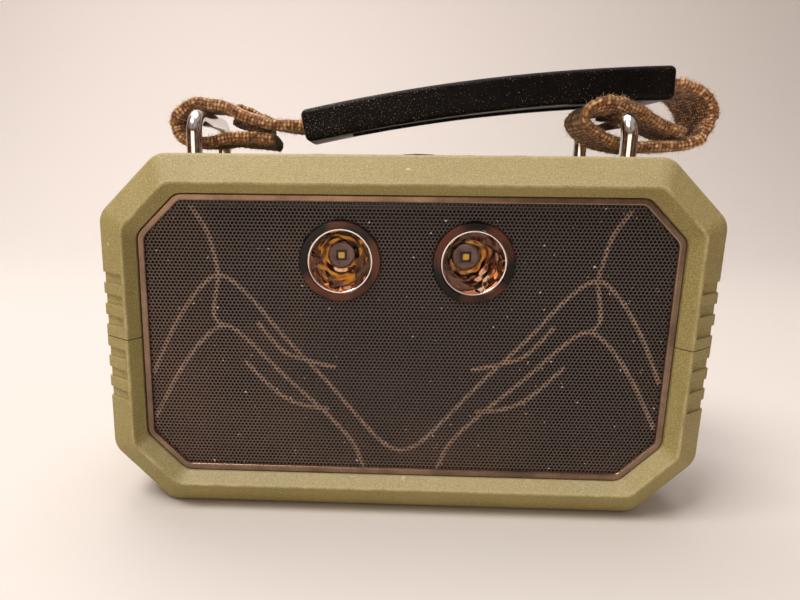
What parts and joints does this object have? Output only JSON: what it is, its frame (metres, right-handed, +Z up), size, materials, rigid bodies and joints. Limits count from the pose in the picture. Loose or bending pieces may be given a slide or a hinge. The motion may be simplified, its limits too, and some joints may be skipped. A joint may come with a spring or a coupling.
{
  "type": "portable bluetooth speaker",
  "caption": "Rugged portable speaker with an octagonal casing, front grille with lamps, top keys, rear port flap and a webbing handle on wire bails.",
  "frame": {"origin": "centre of the base pad's underside, on the surface that the speaker stands on", "axes": "+Z up, +X to the right as the grille is seen from the front, -Y out of the grille"},
  "size_m": [0.1918, 0.0676, 0.1426],
  "materials": {
    "casing": "fine moulded texture, scuffed along its ridges",
    "seal": "moulded rubber",
    "screw": "zinc plated",
    "trim": "polished moulding",
    "grille": "perforated sheet, satin paint",
    "cloth": "thin woven acoustic cloth",
    "inner_plastic": "moulded",
    "bezel": "polished moulding",
    "lens": "clear",
    "reflector": "vacuum metallised",
    "led": "white board with a yellow phosphor",
    "heatsink": "as machined",
    "driver_steel": "black paint",
    "magnet": "ground ferrite and steel",
    "cone": "coated cone",
    "board": "circuit board",
    "cell": "sleeved can",
    "key_panel": "moulded",
    "key": "moulded",
    "wire": "bright plated wire",
    "grip": "satin moulding, fine grain",
    "webbing": "coarse woven, frayed edges"
  },
  "bodies": {
    "housing": {"casing_upper": "casing", "casing_lower": "casing", "casing_seals": "seal", "front_gasket": "seal", "rear_gasket": "seal", "driver_surround_left": "seal", "driver_surround_right": "seal", "radiator_surround": "seal", "base_pad": "seal", "casing_screws": "screw", "bail_washers": "screw", "bail_nuts": "screw", "flap_pin": "screw", "grille_trim": "trim", "grille_sheet": "grille", "grille_cloth": "cloth", "front_baffle": "inner_plastic", "rear_cover": "inner_plastic", "port_well": "inner_plastic", "battery_tray": "inner_plastic", "radiator_frame": "inner_plastic", "lamp_bezel_left": "bezel", "lamp_bezel_right": "bezel", "lamp_lens_left": "lens", "lamp_lens_right": "lens", "lamp_reflector_left": "reflector", "lamp_reflector_right": "reflector", "lamp_led_left": "led", "lamp_led_right": "led", "lamp_heatsink_left": "heatsink", "lamp_heatsink_right": "heatsink", "driver_frame_left": "driver_steel", "driver_frame_right": "driver_steel", "driver_magnet_left": "magnet", "driver_magnet_right": "magnet", "port_board": "board", "main_board": "board", "key_board": "board", "battery_cells": "cell", "key_panel": "key_panel", "bail_left": "wire", "bail_right": "wire", "webbing_right": "webbing"},
    "handle": {"grip": "grip", "webbing_left": "webbing"},
    "port_door": {"port_flap": "inner_plastic"},
    "cone_left": {"driver_cone_left": "cone"},
    "cone_right": {"driver_cone_right": "cone"},
    "passive_plate": {"radiator_plate": "inner_plastic"},
    "key_power_body": {"key_power": "key"},
    "key_minus_body": {"key_minus": "key"},
    "key_play_body": {"key_play": "key"},
    "key_plus_body": {"key_plus": "key"},
    "key_lamp_body": {"key_lamp": "key"}
  },
  "joints": [
    {"name": "handle_hinge", "type": "hinge", "parent": "housing", "child": "handle", "pos_m": [-0.066, 0, 0.1259], "axis": [0, -1, 0], "range_deg": [0, 14], "deforming": ["webbing_right"]},
    {"name": "flap_hinge", "type": "hinge", "parent": "housing", "child": "port_door", "pos_m": [0.052, 0.0265, 0.0402], "axis": [-1, 0, 0], "range_deg": [0, 100]},
    {"name": "cone_left_slide", "type": "slide", "parent": "housing", "child": "cone_left", "axis": [0, -1, 0], "range_m": [-0.0015, 0.0015], "stiffness_N_per_m": 900, "deforming": ["driver_surround_left"]},
    {"name": "cone_right_slide", "type": "slide", "parent": "housing", "child": "cone_right", "axis": [0, -1, 0], "range_m": [-0.0015, 0.0015], "stiffness_N_per_m": 900, "deforming": ["driver_surround_right"]},
    {"name": "passive_slide", "type": "slide", "parent": "housing", "child": "passive_plate", "axis": [0, 1, 0], "range_m": [-0.0015, 0.0015], "stiffness_N_per_m": 600, "deforming": ["radiator_surround"]},
    {"name": "key_power_press", "type": "slide", "parent": "housing", "child": "key_power_body", "axis": [0, 0, -1], "range_m": [0, 0.0005], "stiffness_N_per_m": 2500, "springref_m": -0.0002},
    {"name": "key_minus_press", "type": "slide", "parent": "housing", "child": "key_minus_body", "axis": [0, 0, -1], "range_m": [0, 0.0005], "stiffness_N_per_m": 2500, "springref_m": -0.0002},
    {"name": "key_play_press", "type": "slide", "parent": "housing", "child": "key_play_body", "axis": [0, 0, -1], "range_m": [0, 0.0005], "stiffness_N_per_m": 2500, "springref_m": -0.0002},
    {"name": "key_plus_press", "type": "slide", "parent": "housing", "child": "key_plus_body", "axis": [0, 0, -1], "range_m": [0, 0.0005], "stiffness_N_per_m": 2500, "springref_m": -0.0002},
    {"name": "key_lamp_press", "type": "slide", "parent": "housing", "child": "key_lamp_body", "axis": [0, 0, -1], "range_m": [0, 0.0005], "stiffness_N_per_m": 2500, "springref_m": -0.0002}
  ]
}
